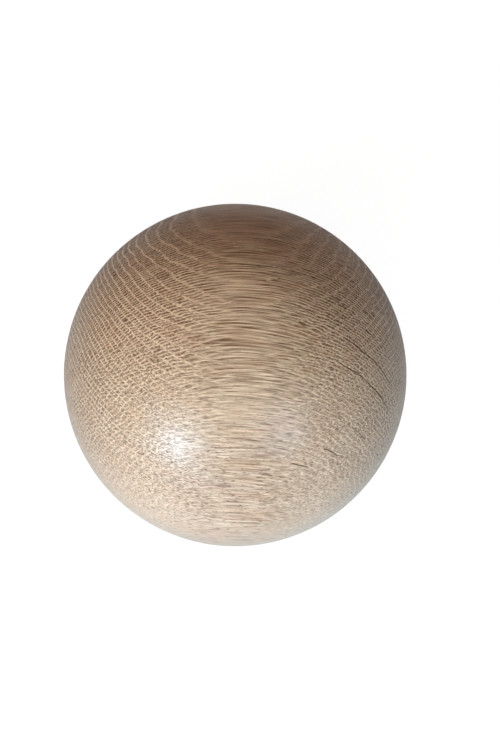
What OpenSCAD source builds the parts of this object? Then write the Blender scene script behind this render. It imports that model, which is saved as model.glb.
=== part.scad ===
// Solid ball turned from one piece of pale oak.
// Millimetres, +Z up, origin at the centre of the ball.

/* [Ball] */
// Diameter of the ball
ball_d = 100; // [20:1:150]

/* [Hidden] */
// Pale oak under a clear satin finish
oak = [0.76, 0.66, 0.55];
// Segments around the ball
ball_segments = 180;

// The turned ball: a true sphere with no flat, hole or centre mark
module ball() {
    color(oak)
    sphere(d = ball_d, $fn = ball_segments);
}

ball();
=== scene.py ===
import math

import bmesh
import bpy
import numpy as np
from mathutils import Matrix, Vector


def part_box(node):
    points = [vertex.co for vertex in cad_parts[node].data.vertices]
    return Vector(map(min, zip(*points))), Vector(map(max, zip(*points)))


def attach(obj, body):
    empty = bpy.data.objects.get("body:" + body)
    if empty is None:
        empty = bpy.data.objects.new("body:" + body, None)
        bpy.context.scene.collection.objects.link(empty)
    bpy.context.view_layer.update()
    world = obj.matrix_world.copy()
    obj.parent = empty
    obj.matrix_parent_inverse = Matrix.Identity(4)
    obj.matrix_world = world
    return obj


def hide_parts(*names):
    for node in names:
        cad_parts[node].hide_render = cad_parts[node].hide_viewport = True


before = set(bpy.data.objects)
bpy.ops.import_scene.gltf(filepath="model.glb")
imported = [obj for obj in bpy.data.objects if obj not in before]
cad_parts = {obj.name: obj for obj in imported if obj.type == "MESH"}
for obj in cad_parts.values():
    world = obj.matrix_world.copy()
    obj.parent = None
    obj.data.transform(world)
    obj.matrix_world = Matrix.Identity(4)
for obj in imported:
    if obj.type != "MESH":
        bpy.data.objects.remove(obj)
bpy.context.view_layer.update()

# A ball turned from one piece of pale oak, under a clear satin varnish.
# The scene is in metres. What is in millimetres has MM in its name or mm in its comment.

CAD_LOW, CAD_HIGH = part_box("ball")
CENTRE = (np.array(CAD_LOW) + np.array(CAD_HIGH)) / 2
RADIUS = (CAD_HIGH[2] - CAD_LOW[2]) / 2
# Millimetres in a metre
MM = 1000.0
RADIUS_MM = RADIUS * MM

# --- Camera: looks steeply down on the ball, from the side of the two windows
CAMERA_ELEVATION = math.radians(75)
CAMERA_LENS_MM = 85
CAMERA_SENSOR_MM = 36
CAMERA_DISTANCE = 0.5193
CAMERA_SIDE = 0.0043

# --- The wood's own directions, seen in the camera's right, up and towards-viewer axes
FIBRE = (1.0, -0.05, -0.08)
# Where the rings and the rays are centred, in ball radii, on the plane across the fibres
RING_CENTRE = (-1.40, -0.42)
RAY_CENTRE = (-1.05, -0.60)

# --- Growth rings: distances from the ring centre, and the width of a ring there
RING_RADII_MM = (20, 60, 72, 85, 92, 100, 108, 125)
RING_WIDTHS_MM = (2.0, 1.8, 1.65, 1.45, 1.5, 1.7, 2.05, 2.0)
MEAN_RING_MM = 1.75
# How far out the rings are counted, and in what steps
RING_REACH_MM = 140
RING_STEP_MM = 0.1
# The rings lean over towards the left end, by this share of the square of the way past a start
RING_LEAN = 0.006
RING_LEAN_FROM_MM = 22
# How strongly the pattern is marked, at distances from the ring centre
MARKED_RADII_MM = (50, 62, 72, 85, 92, 100, 108, 117, 124)
MARKED = (0.14, 0.30, 0.46, 0.48, 0.52, 0.80, 1.20, 1.4, 0.60)

# --- Waves in the wood: their height and length in mm, how many are summed, and the seed
RING_WAVES = (0.45, 26, 7, 3)
SMALL_RING_WAVES = (0.09, 7, 9, 4)
RAY_WAVES = (0.20, 18, 7, 5)
# The waves are drawn out along the fibres, where a length counts only this much
ALONG_SHARE = 0.45
# The rings waver more in one place: its middle and half its size, along the fibres and upwards
WAVERING_WAVES = (0.8, 15, 7, 6)
WAVERING_MIDDLE_MM = (4, 18)
WAVERING_SIZE_MM = (16, 22)
# The varnished surface swells and sinks a little, so the surface is not a perfect sphere
SURFACE_WAVES = (0.006, 5, 12, 8)

# --- Drying checks: angle about the ray centre in degrees, from and to along the fibres in mm,
# and half the width at the surface in mm
CHECKS = (
    (34.7, -6, 11, 0.12),
    (36.9, -5, 10, 0.11),
    (40.3, -4, 19, 0.16),
    (44.3, 31, 39, 0.12),
    (43.5, 6, 19, 0.11),
    (44.8, 21, 27, 0.11),
    (46.1, 9, 19, 0.10),
    (48.0, 25, 42, 0.16),
    (51.9, 24, 42, 0.17),
    (59.0, 24, 28, 0.08),
    (59.6, 30, 35, 0.10),
    (64.5, 22, 27, 0.11),
    (67.8, 13, 19, 0.09),
)
CHECK_DEPTH_MM = 0.25
# How far in mm the painted shade of a check reaches beyond its groove, and the half width below which
# a check's painted shade is fainter
CRACK_SHADE_MM = 0.10
FULL_SHADE_HALF_WIDTH_MM = 0.13
# A check strays from straight in a slow and a quick wave: height in mm, and radians a mm
WANDER = ((0.10, 0.8), (0.03, 2.9))
# A small pit left by a pin knot: angle in degrees, place along the fibres and radius in mm
PIT = (28.8, 16.0, 0.30)
# Stands for the distance to the nearest check on the side that has none
FAR_MM = 99.0

# --- Mesh: steps across the unfolded ball, its margin on the OFBake map, and how many times the
# edges near a check are halved, the last time within this reach
MAP_STEPS = 236
MAP_MARGIN = 2 / 1024
REFINE_PASSES = 3
REFINE_REACH_MM = 0.45
# A place on the map that is nearer than this to a pole is the pole itself
TINY = 1e-9


def unit(vector):
    vector = np.asarray(vector, dtype=float)
    return vector / np.linalg.norm(vector)


def unit_rows(vectors):
    return vectors / np.linalg.norm(vectors, axis=1)[:, None]


def camera_axes():
    """The camera's right, up and towards-viewer directions in the ball's frame."""
    sin, cos = math.sin(CAMERA_ELEVATION), math.cos(CAMERA_ELEVATION)
    return np.array([(1, 0, 0), (0, sin, cos), (0, -cos, sin)], dtype=float)


def wood_axes():
    """Unit vectors along the fibres and across them, upwards and outwards, in the ball's frame."""
    right, up, viewer = camera_axes()
    along = unit(FIBRE[0] * right + FIBRE[1] * up + FIBRE[2] * viewer)
    outer = unit(viewer - viewer.dot(along) * along)
    upper = np.cross(outer, along)
    return along, upper, outer


def wood_places(places):
    """Places from the ball's centre, measured along the fibres, upwards and outwards."""
    return [places @ axis for axis in wood_axes()]


def waves(points, height, length, count, seed):
    """Smooth seeded noise of about a given height: a sum of plane waves of about a given length."""
    random = np.random.default_rng(seed)
    total = np.zeros(len(points))
    for _ in range(count):
        direction = unit(random.normal(size=3))
        turns = 2 * math.pi / (length * random.uniform(0.7, 1.5))
        total += np.sin(points @ direction * turns + random.uniform(0, 2 * math.pi))
    return total * height * math.sqrt(2 / count)


def ring_count(distance):
    """How many growth rings lie within a distance in mm from the ring centre."""
    steps = np.linspace(0, RING_REACH_MM, round(RING_REACH_MM / RING_STEP_MM) + 1)
    # Good and poor years come and go unevenly
    good_years = 0.16 * np.sin(steps / 1.9) * np.sin(steps / 3.7 + 1) + 0.10 * np.sin(steps / 6.1)
    widths = np.interp(steps, RING_RADII_MM, RING_WIDTHS_MM) * (1 + good_years)
    return np.interp(distance, steps, np.cumsum(RING_STEP_MM / widths))


def wood_fields(points):
    """Ring number, strength of the pattern, ray angle in radians and place along the fibres in mm."""
    along, up, out = wood_places((points - CENTRE) * MM)
    stretched = np.stack([along * ALONG_SHARE, up, out], axis=1)
    from_middle = (along - WAVERING_MIDDLE_MM[0]) / WAVERING_SIZE_MM[0]
    above_middle = (up - WAVERING_MIDDLE_MM[1]) / WAVERING_SIZE_MM[1]
    wavering = np.exp(-from_middle ** 2 - above_middle ** 2)
    ring_up = up - RING_CENTRE[0] * RADIUS_MM
    ring_up += waves(stretched, *RING_WAVES) + waves(stretched, *SMALL_RING_WAVES)
    ring_up += wavering * waves(stretched, *WAVERING_WAVES)
    ring_out = out - RING_CENTRE[1] * RADIUS_MM
    ray_up = up - RAY_CENTRE[0] * RADIUS_MM
    ray_out = out - RAY_CENTRE[1] * RADIUS_MM + waves(stretched, *RAY_WAVES)
    distance = np.hypot(ring_up, ring_out)
    lean = RING_LEAN * np.maximum(-along - RING_LEAN_FROM_MM, 0) ** 2
    return {
        "ring": ring_count(distance - lean),
        "marked": np.interp(distance, MARKED_RADII_MM, MARKED),
        "ray": np.arctan2(ray_out, ray_up),
        "along": along,
    }


def peak(away, reach):
    """1 in the middle of something, falling evenly to 0 at its edge."""
    return np.clip(1 - away / reach, 0, 1)


def wander(along, angle):
    """How far in mm the check at an angle strays from straight, at places along the fibres."""
    (slow_height, slow_turns), (quick_height, quick_turns) = WANDER
    slow = slow_height * np.sin(along * slow_turns + angle)
    return slow + quick_height * np.sin(along * quick_turns + 2 * angle)


def groove_depths(points):
    """At each point, the depth in mm of the checks and the pit, how near one is, and the painted
    shade that darkens them.
    """
    along, up, out = wood_places(unit_rows(points - CENTRE) * RADIUS_MM)
    ray_up = up - RAY_CENTRE[0] * RADIUS_MM
    ray_out = out - RAY_CENTRE[1] * RADIUS_MM
    reach = np.hypot(ray_up, ray_out)
    angle = np.degrees(np.arctan2(ray_out, ray_up))
    # The grooves are only where the rays leave the ball, not where they enter it
    outside = up * ray_up + out * ray_out > 0
    depth = np.zeros(len(points))
    crack_shade = np.zeros(len(points))
    near = np.full(len(points), FAR_MM)
    for at, start, end, half_width in CHECKS:
        middle, half_length = (start + end) / 2, (end - start) / 2
        across = np.abs(np.radians(angle - at) * reach + wander(along, at))
        beyond = np.maximum(np.abs(along - middle) - half_length, 0)
        # A check is full along most of its length and tapers at its ends
        taper = np.clip(1.15 - ((along - middle) / half_length) ** 4, 0, 1)
        here = taper * (beyond == 0) * outside
        depth = np.maximum(depth, CHECK_DEPTH_MM * peak(across, half_width) * here)
        strength = min(half_width / FULL_SHADE_HALF_WIDTH_MM, 1)
        # Each check is darkened with painted shade, a little wider than its groove
        shaded = peak(across, half_width + CRACK_SHADE_MM * strength)
        crack_shade = np.maximum(crack_shade, shaded * here * strength)
        near = np.minimum(near, np.where(outside, np.hypot(across, beyond), FAR_MM))
    at, place, pit_radius = PIT
    away = np.hypot(np.radians(angle - at) * reach, along - place)
    pit = peak(away, pit_radius) * outside
    depth = np.maximum(depth, CHECK_DEPTH_MM * pit)
    # The pit is darkened with painted shade too
    crack_shade = np.maximum(crack_shade, pit)
    near = np.minimum(near, np.where(outside, away, FAR_MM))
    return depth, near, crack_shade


def sphere_point(x, y):
    """The point of a unit sphere at x, y of an unfolded octahedron, with areas kept."""
    inside = 1 - (abs(x) + abs(y))
    ring = 1 - abs(inside)
    turn = math.pi / 4 * ((abs(y) - abs(x)) / ring + 1) if ring > TINY else 0.0
    across = ring * math.sqrt(2 - ring * ring)
    return (
        math.copysign(across * math.cos(turn), x),
        math.copysign(across * math.sin(turn), y),
        math.copysign(1 - ring * ring, inside),
    )


def unfolded_sphere():
    """A bmesh sphere of even triangles, with the unfolded octahedron as its OFBake map."""
    mesh = bmesh.new()
    found = {}

    def corner(i, j):
        place = sphere_point(2 * i / MAP_STEPS - 1, 2 * j / MAP_STEPS - 1)
        # Places on the map's border that meet on the ball share one vertex
        key = tuple(round(value, 7) + 0.0 for value in place)
        if key not in found:
            found[key] = mesh.verts.new([mid + RADIUS * value for mid, value in zip(CENTRE, place)])
        return found[key]

    layer = mesh.loops.layers.uv.new("OFBake")
    half = MAP_STEPS // 2
    map_side = 1 - 2 * MAP_MARGIN
    for i in range(MAP_STEPS):
        for j in range(MAP_STEPS):
            cells = [(i, j), (i + 1, j), (i + 1, j + 1), (i, j + 1)]
            if (i < half) == (j < half):
                triangles = ((cells[0], cells[1], cells[3]), (cells[1], cells[2], cells[3]))
            else:
                triangles = ((cells[0], cells[1], cells[2]), (cells[0], cells[2], cells[3]))
            for triangle in triangles:
                corners = [corner(*cell) for cell in triangle]
                if len(set(corners)) < 3:
                    continue
                face = mesh.faces.new(corners)
                face.smooth = True
                for loop, cell in zip(face.loops, triangle):
                    loop[layer].uv = [MAP_MARGIN + map_side * step / MAP_STEPS for step in cell]
    return mesh


def vertex_places(mesh):
    return np.array([vertex.co[:] for vertex in mesh.verts])


def refine_near_grooves(mesh):
    """Halve the edges near the checks, so that a hairline groove has real sides."""
    for turn in range(REFINE_PASSES):
        reach = REFINE_REACH_MM * 2 ** (REFINE_PASSES - 1 - turn)
        _, distance, _ = groove_depths(vertex_places(mesh))
        near = distance < reach
        mesh.verts.ensure_lookup_table()
        mesh.verts.index_update()
        edges = [edge for edge in mesh.edges if any(near[end.index] for end in edge.verts)]
        bmesh.ops.subdivide_edges(mesh, edges=edges, cuts=1, use_grid_fill=True)
        bmesh.ops.triangulate(mesh, faces=[face for face in mesh.faces if len(face.verts) > 3])


def build_ball():
    mesh = unfolded_sphere()
    refine_near_grooves(mesh)
    places = vertex_places(mesh)
    normals = unit_rows(places - CENTRE)
    depth, _, crack_shade = groove_depths(places)
    swell = waves(places * MM, *SURFACE_WAVES)
    places = CENTRE + normals * (RADIUS_MM - depth + swell)[:, None] / MM
    for vertex, place in zip(mesh.verts, places):
        vertex.co = place
    bmesh.ops.recalc_face_normals(mesh, faces=mesh.faces)
    data = bpy.data.meshes.new("ball_surface")
    mesh.to_mesh(data)
    mesh.free()
    # The check field carries the painted shade of the checks and the pit
    for name, values in {**wood_fields(places), "check": crack_shade}.items():
        layer = data.attributes.new(name, "FLOAT", "POINT")
        layer.data.foreach_set("value", values.astype(np.float32))
    ball = bpy.data.objects.new("oak_ball", data)
    bpy.context.scene.collection.objects.link(ball)
    return ball


class Wire:
    """A shader value that ordinary arithmetic can be done with."""

    def __init__(self, tree, socket):
        self.tree = tree
        self.socket = socket

    def math(self, operation, *others):
        node = self.tree.nodes.new("ShaderNodeMath")
        node.operation = operation
        for slot, value in zip(node.inputs, (self, *others)):
            connect(self.tree, value, slot)
        return Wire(self.tree, node.outputs[0])

    def __add__(self, other):
        return self.math("ADD", other)

    def __sub__(self, other):
        return self.math("SUBTRACT", other)

    def __mul__(self, other):
        return self.math("MULTIPLY", other)

    def __truediv__(self, other):
        return self.math("DIVIDE", other)

    __radd__ = __add__
    __rmul__ = __mul__

    def __rsub__(self, other):
        return self.math("MULTIPLY", -1.0) + other

    def floor(self):
        return self.math("FLOOR")

    def abs(self):
        return self.math("ABSOLUTE")

    def at_most(self, limit):
        return self.math("MINIMUM", limit)

    def clamped(self):
        held = self.math("ADD", 0.0)
        held.socket.node.use_clamp = True
        return held

    def step(self, low, high):
        """A smooth step from 0 at low to 1 at high."""
        node = self.tree.nodes.new("ShaderNodeMapRange")
        node.interpolation_type = "SMOOTHSTEP"
        node.inputs["From Min"].default_value = low
        node.inputs["From Max"].default_value = high
        connect(self.tree, self, node.inputs["Value"])
        return Wire(self.tree, node.outputs["Result"])


def connect(tree, value, slot):
    if isinstance(value, Wire):
        tree.links.new(value.socket, slot)
    else:
        slot.default_value = value


def colour(red, green, blue):
    return (red, green, blue, 1.0)


class Painter:
    """Makes the nodes of one material."""

    def __init__(self, name):
        self.material = bpy.data.materials.new(name)
        self.material.use_nodes = True
        self.tree = self.material.node_tree
        self.shader = self.tree.nodes["Principled BSDF"]

    def put(self, value, input_name):
        """Send a wire or a constant to one of the shader's inputs."""
        connect(self.tree, value, self.shader.inputs[input_name])

    def field(self, name):
        node = self.tree.nodes.new("ShaderNodeAttribute")
        node.attribute_name = name
        return Wire(self.tree, node.outputs["Fac"])

    def vector(self, x, y, z):
        node = self.tree.nodes.new("ShaderNodeCombineXYZ")
        for value, slot in zip((x, y, z), node.inputs):
            connect(self.tree, value, slot)
        return Wire(self.tree, node.outputs[0])

    def noise(self, place, detail):
        node = self.tree.nodes.new("ShaderNodeTexNoise")
        node.inputs["Scale"].default_value = 1.0
        node.inputs["Detail"].default_value = detail
        connect(self.tree, place, node.inputs["Vector"])
        return Wire(self.tree, node.outputs[0])

    def voronoi(self, dimensions, feature, randomness, place):
        node = self.tree.nodes.new("ShaderNodeTexVoronoi")
        node.voronoi_dimensions = dimensions
        node.feature = feature
        node.inputs["Scale"].default_value = 1.0
        node.inputs["Randomness"].default_value = randomness
        connect(self.tree, place, node.inputs["W" if dimensions == "1D" else "Vector"])
        return node

    def cells(self, place):
        """Distance to the nearest of scattered points, and a random number for that point."""
        node = self.voronoi("2D", "F1", 0.8, place)
        split = self.tree.nodes.new("ShaderNodeSeparateColor")
        self.tree.links.new(node.outputs["Color"], split.inputs[0])
        return Wire(self.tree, node.outputs["Distance"]), Wire(self.tree, split.outputs[0])

    def lane_edge(self, place):
        """Distance to the nearest border between lanes of uneven width, about 1 wide."""
        node = self.voronoi("1D", "DISTANCE_TO_EDGE", 0.6, place)
        return Wire(self.tree, node.outputs["Distance"])

    def mix(self, share, first, second):
        node = self.tree.nodes.new("ShaderNodeMix")
        node.data_type = "RGBA"
        connect(self.tree, share, node.inputs["Factor"])
        inputs = {socket.identifier: socket for socket in node.inputs}
        connect(self.tree, first, inputs["A_Color"])
        connect(self.tree, second, inputs["B_Color"])
        outputs = {socket.identifier: socket for socket in node.outputs}
        return Wire(self.tree, outputs["Result_Color"])

    def bump(self, height, distance):
        node = self.tree.nodes.new("ShaderNodeBump")
        node.inputs["Strength"].default_value = 1.0
        node.inputs["Distance"].default_value = distance
        connect(self.tree, height, node.inputs["Height"])
        return Wire(self.tree, node.outputs[0])


PALE_WOOD = colour(0.94, 0.73, 0.545)
DARK_WOOD = colour(0.137, 0.056, 0.019)
WARM_WOOD = colour(0.55, 0.32, 0.19)
PORE = colour(0.10, 0.055, 0.03)
# Painted shade in the checks and the pit
CRACK_SHADE = colour(0.055, 0.025, 0.012)

# --- Where the wood changes: each pair says where a change starts and where it is complete
# Along the fibres, away from the ball's middle
END_GRAIN_MM = (4, 26)
SPECKS_MM = (4, 28)
FAR_END_MM = (25, 45)
# Along the fibres, from left to right
RIGHT_MM = (-8, 14)
# Outwards, counted in rings
OPEN_GRAIN_RINGS = (10, 34)
VESSEL_RINGS = (14, 38)
UPPER_RINGS = (34, 60)
NARROW_LANE_RINGS = (42, 58)
PALE_YEARS_BEGIN = (58, 61)
PALE_YEARS_END = (63, 66)

# --- The marks: each is full up to the first distance from its middle and gone at the second.
# The pale lines are drawn narrower than this where the pattern is faint
RING_LINE_MM = (0.10, 0.26)
RAY_LINE_LANES = (0.10, 0.32)
PORE_MM = (0.10, 0.18)
THREAD_LANES = (0.08, 0.34)
# The first ring's distance from the ring centre
FIRST_RING_MM = 3.0
# The width of the lanes between rays, and how much narrower it is in the outer rings
LANE_MM = 1.15
LANE_NARROWING_MM = 0.25
# The spacing of pores round a ring and along the fibres, and their rows in each ring
PORE_SPACING_MM = 0.75
PORE_LENGTH_MM = 15
PORE_ROWS = 2
THREAD_SPACING_MM = 0.72
# How quickly close streaks follow each other, in radians a mm
STREAK_TURNS = 11.0
# Keeps the noise that shades the cells apart from the other noise
SHADE_SHIFT = 50.0

# --- Darkness: of the wood on the whole, and how far its cells and lines stand out from it
WOOD_DARKNESS = 0.445
CELL_DARKNESS = 0.45
CONTRAST = 0.23
END_GRAIN_CONTRAST = 0.47
FAR_END_CONTRAST = 1.05

# --- Varnish: how deep the open grain is in it, in metres, and its finish
GRAIN_DEPTH = 0.00004
VARNISH_ROUGHNESS = 0.28
VARNISH_IOR = 1.5


class OakPainter(Painter):
    """Growth rings, rays, pores and fibres, all worked out from the ball's wood fields.

    Darkness runs from 0, the palest wood, to 1, the darkest. Patterns are laid out in mm round a
    ring, in rings outwards and in mm along the fibres, and multiples of a ring's number give
    each ring a pattern of its own.
    """

    def __init__(self):
        super().__init__("oak")
        self.ring = self.field("ring")
        self.along = self.field("along")
        self.marked = self.field("marked")
        self.number = self.ring.floor()
        self.part = self.ring - self.number
        self.tangent = self.field("ray") * (self.number * MEAN_RING_MM + FIRST_RING_MM)
        # End grain shows where the surface turns across the fibres, long grain where it follows them
        self.end_grain = self.along.abs().step(*END_GRAIN_MM)
        self.long_grain = 1.0 - self.end_grain
        self.far_end = self.along.abs().step(*FAR_END_MM)
        self.right = self.along.step(*RIGHT_MM)
        # The rings are centred below the ball, as the camera sees it, so the inner ones lie low on it
        self.lower = 1.0 - self.ring.step(*UPPER_RINGS)
        # Pores and fibres show less in the innermost rings, and pale lines are thinner in faint wood
        self.shown = self.ring.step(*OPEN_GRAIN_RINGS) * 0.6 + 0.4
        self.line_width = (self.marked * 0.6 + 0.4).at_most(0.85)
        # Lanes side by side round each ring, with a pale ray at each border
        sway = self.mottle(self.tangent / 5.0, self.ring * 1.3, length=14.0) - 0.5
        lane_mm = LANE_MM - self.number.step(*NARROW_LANE_RINGS) * LANE_NARROWING_MM
        self.lane = self.tangent / lane_mm + self.number * 5.37 + sway

    def mottle(self, across, outwards, length, detail=0.0):
        """Noise from 0 to 1, in blots of about a given length in mm along the fibres."""
        return self.noise(self.vector(across, outwards, self.along / length), detail)

    def ring_lines(self):
        """A pale line along each ring's edge, stronger in some places than in others."""
        wobble = (self.mottle(self.tangent / 0.5, self.number * 3.7, length=14.0) - 0.5) * 0.55
        ragged = self.mottle(self.tangent / 0.22, self.ring * 5.0, length=3.0) - 0.5
        from_edge = (0.5 - (self.part - 0.5).abs()) * MEAN_RING_MM
        from_edge = from_edge + wobble + ragged * self.far_end * 0.7
        line = 1.0 - (from_edge / (self.line_width + self.far_end * 0.15)).step(*RING_LINE_MM)
        strength = self.mottle(self.tangent / 5.0, self.number * 3.1, length=14.0).step(0.2, 0.6)
        line = line * (strength * 0.6 + 0.4 + self.far_end * 0.3).at_most(1.0)
        return line * (self.end_grain * 0.35 + 0.65) * (1.0 - self.right * 0.45)

    def ray_lines(self):
        """Pale rays that part the darker cells between two ring lines."""
        rays = 1.0 - (self.lane_edge(self.lane) / self.line_width).step(*RAY_LINE_LANES)
        fade = self.mottle(self.lane * 1.3, self.number * 2.3, length=10.0).step(0.15, 0.35)
        return rays * fade * (1.0 - self.far_end * 0.35)

    def pores(self):
        """Rows of open pores in each ring."""
        row = (self.part * PORE_ROWS).floor()
        round_ring = self.tangent / PORE_SPACING_MM + self.number * 3.19 + row * 7.7
        lengthwise = self.along / PORE_LENGTH_MM + self.number * 1.37
        nearest, pick = self.cells(self.vector(round_ring, lengthwise, 0.0))
        sideways = nearest * PORE_SPACING_MM
        row_middle = (row + 0.5) / PORE_ROWS
        outwards = (self.part - row_middle) * MEAN_RING_MM
        away = (sideways * sideways + outwards * outwards).math("SQRT")
        return (1.0 - away.step(*PORE_MM)) * pick.step(0.25, 0.45) * self.shown

    def vessels(self):
        """Short open vessels, most of all low on the ball, but not in its innermost rings."""
        vessel = self.mottle(self.tangent / 0.30, self.ring * 4.2, length=1.3).step(0.66, 0.69)
        vessel = vessel * (self.lower * 0.75 + 0.25) * (1.0 - self.right * 0.3)
        return vessel * self.ring.step(*VESSEL_RINGS)

    def streaks(self):
        """Close wavy streaks along the wood, in some lanes and not in others."""
        winding = self.mottle(self.tangent / 1.6, self.ring * 0.8, length=16.0) - 0.5
        turns = self.tangent * STREAK_TURNS + winding * 12.0
        present = self.mottle(self.lane, self.ring * 0.8, length=7.0).step(0.3, 0.6)
        return turns.math("SINE") * present

    def threads(self):
        """Single dark threads that bend a little and come and go along the wood."""
        bending = self.mottle(self.tangent / 2.2, self.ring * 0.7, length=18.0) - 0.5
        thread = self.tangent / THREAD_SPACING_MM + bending * 1.8
        present = self.mottle(thread * 1.7, self.ring * 0.9, length=9.0).step(0.35, 0.65)
        return (1.0 - self.lane_edge(thread).step(*THREAD_LANES)) * present

    def fine_grain(self):
        """Fibres across the middle of the ball, and fine specks towards its ends."""
        fibres = (self.mottle(self.tangent / 0.22, self.ring * 2.0, length=10.0) - 0.5) * 1.45
        fibres = fibres + self.streaks() * 0.20 + (self.threads() - 0.22) * 0.22
        fibres = fibres * (1.0 - self.lower * 0.1)
        specks = (self.mottle(self.tangent / 0.25, self.ring * 6.0, length=1.3) - 0.5) * 2.0
        return fibres + (specks - fibres) * self.along.abs().step(*SPECKS_MM)

    def level(self):
        """The wood's darkness on the whole, with a darker band in each ring and some pale years."""
        pale_years = self.ring.step(*PALE_YEARS_BEGIN) - self.ring.step(*PALE_YEARS_END)
        band = (1.0 - (self.part - 0.5).abs() * 2.0).step(0.2, 0.8) - 0.5
        on_long_grain = self.lower * 0.12 + 0.045 - pale_years * 0.08
        on_long_grain = on_long_grain + band * 0.06 * (1.0 - self.lower * 0.7)
        on_end_grain = self.lower * 0.05
        return WOOD_DARKNESS + on_end_grain * self.end_grain + on_long_grain * self.long_grain

    def darkness(self):
        """Dark cells between pale lines, which stand out most on end grain, and uneven wood."""
        pale = self.ring_lines().math("MAXIMUM", self.ray_lines())
        contrast = CONTRAST + self.end_grain * END_GRAIN_CONTRAST
        contrast = contrast + self.far_end * (FAR_END_CONTRAST - self.right * 0.25)
        contrast = contrast * self.marked * (1.0 - self.lower * 0.2)
        shade = self.mottle(self.lane * 1.4 + SHADE_SHIFT, self.number * 4.1, length=9.0) - 0.5
        shade = shade * (self.end_grain * 0.15 + 0.2) * (1.0 - self.lower * 0.4)
        uneven = (shade + self.fine_grain()) * (self.marked * 0.35 + 0.48) * self.shown
        patches = self.mottle(self.tangent / 14.0, self.ring / 6.0, length=30.0, detail=1.0) - 0.5
        wood = self.level() + (CELL_DARKNESS - pale) * contrast
        return (wood + uneven + patches * 0.12).clamped()

    def paint(self):
        tone = self.darkness()
        pore = self.pores()
        vessel = self.vessels()
        # Where the checks and the pit get painted shade; there the wood is also rougher and loses its
        # varnish
        split = self.field("check").step(0.15, 0.7)
        warmth = self.mottle(self.tangent / 5.0, self.ring / 2.0, length=12.0).step(0.45, 0.75)
        base = self.mix(tone, PALE_WOOD, DARK_WOOD)
        base = self.mix(warmth * 0.22, base, WARM_WOOD)
        base = self.mix(pore * (self.end_grain * 0.4 + 0.15), base, PORE)
        base = self.mix(vessel * 0.8, base, PORE)
        base = self.mix(split * 0.85, base, CRACK_SHADE)
        # The varnish has sunk into the open grain and the checks
        hollow = (pore * 0.9 + vessel + split + tone.step(0.60, 0.95) * 0.7).at_most(1.0)
        self.put(base, "Base Color")
        self.put(0.40 + tone * 0.15 + split * 0.4, "Roughness")
        self.put(self.bump(1.0 - tone - pore, GRAIN_DEPTH), "Normal")
        self.put(1.0 - hollow, "Coat Weight")
        self.put(VARNISH_ROUGHNESS, "Coat Roughness")
        self.put(VARNISH_IOR, "IOR")
        return self.material


# --- Floor: as it lights the ball, as the camera sees it, and as the varnish mirrors it
FLOOR_HALF = 2.0
FLOOR = colour(0.8, 0.8, 0.8)
FLOOR_SEEN = colour(0.12, 0.12, 0.12)
LIT_FLOOR_REFLECTION = colour(0.58, 0.68, 0.80)
SHADED_FLOOR_REFLECTION = colour(0.27, 0.24, 0.20)
# In the varnish the floor's colour turns from a painted lit colour in front to a painted shadow
# behind, between these places, front to back
NEAR_Y = -0.12
FAR_Y = 0.26
# How much the floor glows to the camera and in the varnish, where a patch in front glows more as a
# painted glint in the varnish only
GLOW_SEEN = 0.96
GLOW_MIRRORED = 0.1
GLINT_PATCH_GLOW = 0.9
GLINT_PATCH_PLACE = (-0.06, -0.15)
GLINT_PATCH_RADIUS = 0.10


def ray_kinds(tree):
    """1 for rays from the camera, and 1 for rays that a surface mirrors or lets through."""
    path = tree.nodes.new("ShaderNodeLightPath")
    seen = Wire(tree, path.outputs["Is Camera Ray"])
    glossy = Wire(tree, path.outputs["Is Glossy Ray"])
    return seen, glossy + Wire(tree, path.outputs["Is Transmission Ray"])


def floor_material():
    """A pale floor: white to the camera apart from a faint shadow, dimmer in the varnish, where it
    has a painted glint in front and a painted shadow behind.
    """
    painter = Painter("floor_white")
    tree = painter.tree
    seen, mirrored = ray_kinds(tree)
    place = tree.nodes.new("ShaderNodeSeparateXYZ")
    tree.links.new(tree.nodes.new("ShaderNodeTexCoord").outputs["Object"], place.inputs[0])
    x, y = Wire(tree, place.outputs[0]), Wire(tree, place.outputs[1])
    # A painted glint: a patch of floor in front that glows only in the varnish
    side, front = x - GLINT_PATCH_PLACE[0], y - GLINT_PATCH_PLACE[1]
    glint_patch = 1.0 - (side * side + front * front).math("SQRT").step(0.0, GLINT_PATCH_RADIUS)
    near = 1.0 - y.step(NEAR_Y, FAR_Y)
    # In the varnish the floor is a painted reflection: painted light in front and a painted shadow
    # behind
    base = painter.mix(mirrored, FLOOR, painter.mix(near, SHADED_FLOOR_REFLECTION, LIT_FLOOR_REFLECTION))
    glow = seen * GLOW_SEEN + mirrored * (glint_patch * GLINT_PATCH_GLOW + GLOW_MIRRORED)
    painter.put(painter.mix(seen, base, FLOOR_SEEN), "Base Color")
    painter.put(1.0, "Roughness")
    painter.put(0.0, "Specular IOR Level")
    painter.put(colour(1, 1, 1), "Emission Color")
    painter.put(glow, "Emission Strength")
    return painter.material


def build_floor():
    half, low = FLOOR_HALF, CAD_LOW[2]
    data = bpy.data.meshes.new("floor")
    corners = [(-half, -half, low), (half, -half, low), (half, half, low), (-half, half, low)]
    data.from_pydata(corners, [], [(0, 1, 2, 3)])
    data.materials.append(floor_material())
    floor = bpy.data.objects.new("floor", data)
    bpy.context.scene.collection.objects.link(floor)


def build_camera():
    data = bpy.data.cameras.new("camera")
    data.lens = CAMERA_LENS_MM
    data.sensor_width = CAMERA_SENSOR_MM
    camera = bpy.data.objects.new("camera", data)
    _, _, viewer = camera_axes()
    camera.location = Vector(CENTRE) + CAMERA_DISTANCE * Vector(viewer) + Vector((CAMERA_SIDE, 0, 0))
    camera.rotation_euler = (math.pi / 2 - CAMERA_ELEVATION, 0, 0)
    bpy.context.scene.collection.objects.link(camera)
    bpy.context.scene.camera = camera


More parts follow.
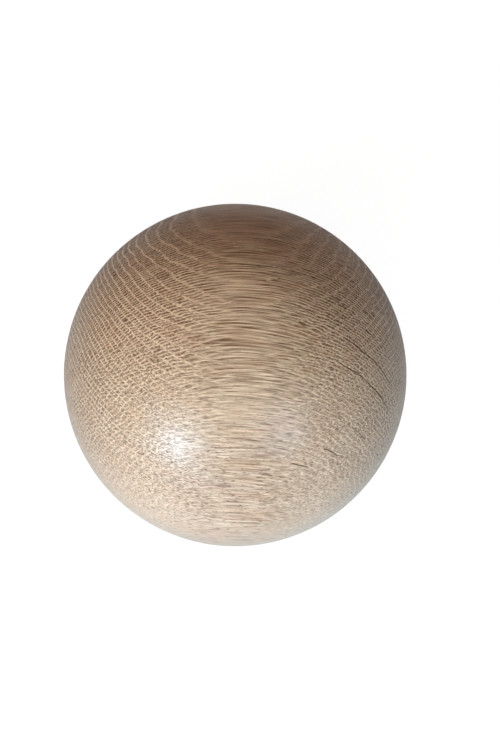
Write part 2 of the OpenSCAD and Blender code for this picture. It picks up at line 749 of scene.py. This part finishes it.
# --- Lamps: name, azimuth (0 is the camera's side) and elevation in degrees, distance, width and
# height in metres, watts, tint, and whether it lights the wood or glints in the varnish
LAMPS = (
    ("left_sky", -40, 35, 1.5, 0.8, 0.5, 15.6, (1.0, 0.97, 0.90), "light"),
    ("left_wall", -50, 12, 1.5, 0.8, 0.5, 3.3, (1.0, 0.93, 0.80), "light"),
    ("front_sky", 0, 25, 1.5, 0.8, 0.5, 4.2, (0.62, 0.88, 1.0), "light"),
    ("front_floor", -14, 2, 1.5, 0.8, 0.14, 9.8, (0.42, 0.68, 1.0), "light"),
    ("right_sky", 40, 30, 1.5, 0.8, 0.5, 6.5, (0.82, 0.94, 1.0), "light"),
    ("ceiling", 0, 60, 1.5, 0.8, 0.5, 4.3, (1.0, 0.92, 0.72), "light"),
    ("far_wall", 180, 35, 1.5, 1.0, 1.0, 2.5, (1.0, 0.33, 0.05), "light"),
    ("left_window", -35, 18, 1.2, 0.28, 0.38, 5.5, (0.54, 0.76, 1.0), "glint"),
    ("left_glow", -35, 18, 1.2, 1.0, 1.0, 4.2, (0.20, 0.66, 1.0), "glint"),
    ("right_window", 34, 28, 1.2, 0.40, 0.65, 2.35, (0.24, 0.57, 1.0), "glint"),
)
# How bright the room around is in the varnish
ROOM_GLOSS = 0.10


def add_lamp(name, azimuth, elevation, distance, width, height, watts, tint, use):
    """A soft rectangular light that faces the ball. Its use is "light" or "glint"."""
    turn, lift = math.radians(azimuth), math.radians(elevation)
    away = Vector((math.sin(turn) * math.cos(lift), -math.cos(turn) * math.cos(lift), math.sin(lift)))
    data = bpy.data.lights.new(name, "AREA")
    data.shape = "RECTANGLE"
    data.size = width
    data.size_y = height
    data.energy = watts
    data.color = tint
    lamp = bpy.data.objects.new(name, data)
    lamp.location = Vector(CENTRE) + away * distance
    lamp.rotation_euler = away.to_track_quat("Z", "Y").to_euler()
    lamp.visible_glossy = use == "glint"
    lamp.visible_diffuse = use == "light"
    bpy.context.scene.collection.objects.link(lamp)


def build_room():
    """A white room to the camera, dim in the varnish, that sheds no light of its own."""
    world = bpy.data.worlds.new("room")
    world.use_nodes = True
    seen, mirrored = ray_kinds(world.node_tree)
    background = world.node_tree.nodes["Background"]
    background.inputs["Color"].default_value = colour(1, 1, 1)
    connect(world.node_tree, seen + mirrored * ROOM_GLOSS, background.inputs["Strength"])
    bpy.context.scene.world = world


def main():
    bpy.context.scene.view_settings.view_transform = "Standard"
    build_camera()
    ball = build_ball()
    ball.data.materials.append(OakPainter().paint())
    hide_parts("ball")
    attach(ball, "root")
    build_floor()
    for lamp in LAMPS:
        add_lamp(*lamp)
    build_room()


main()
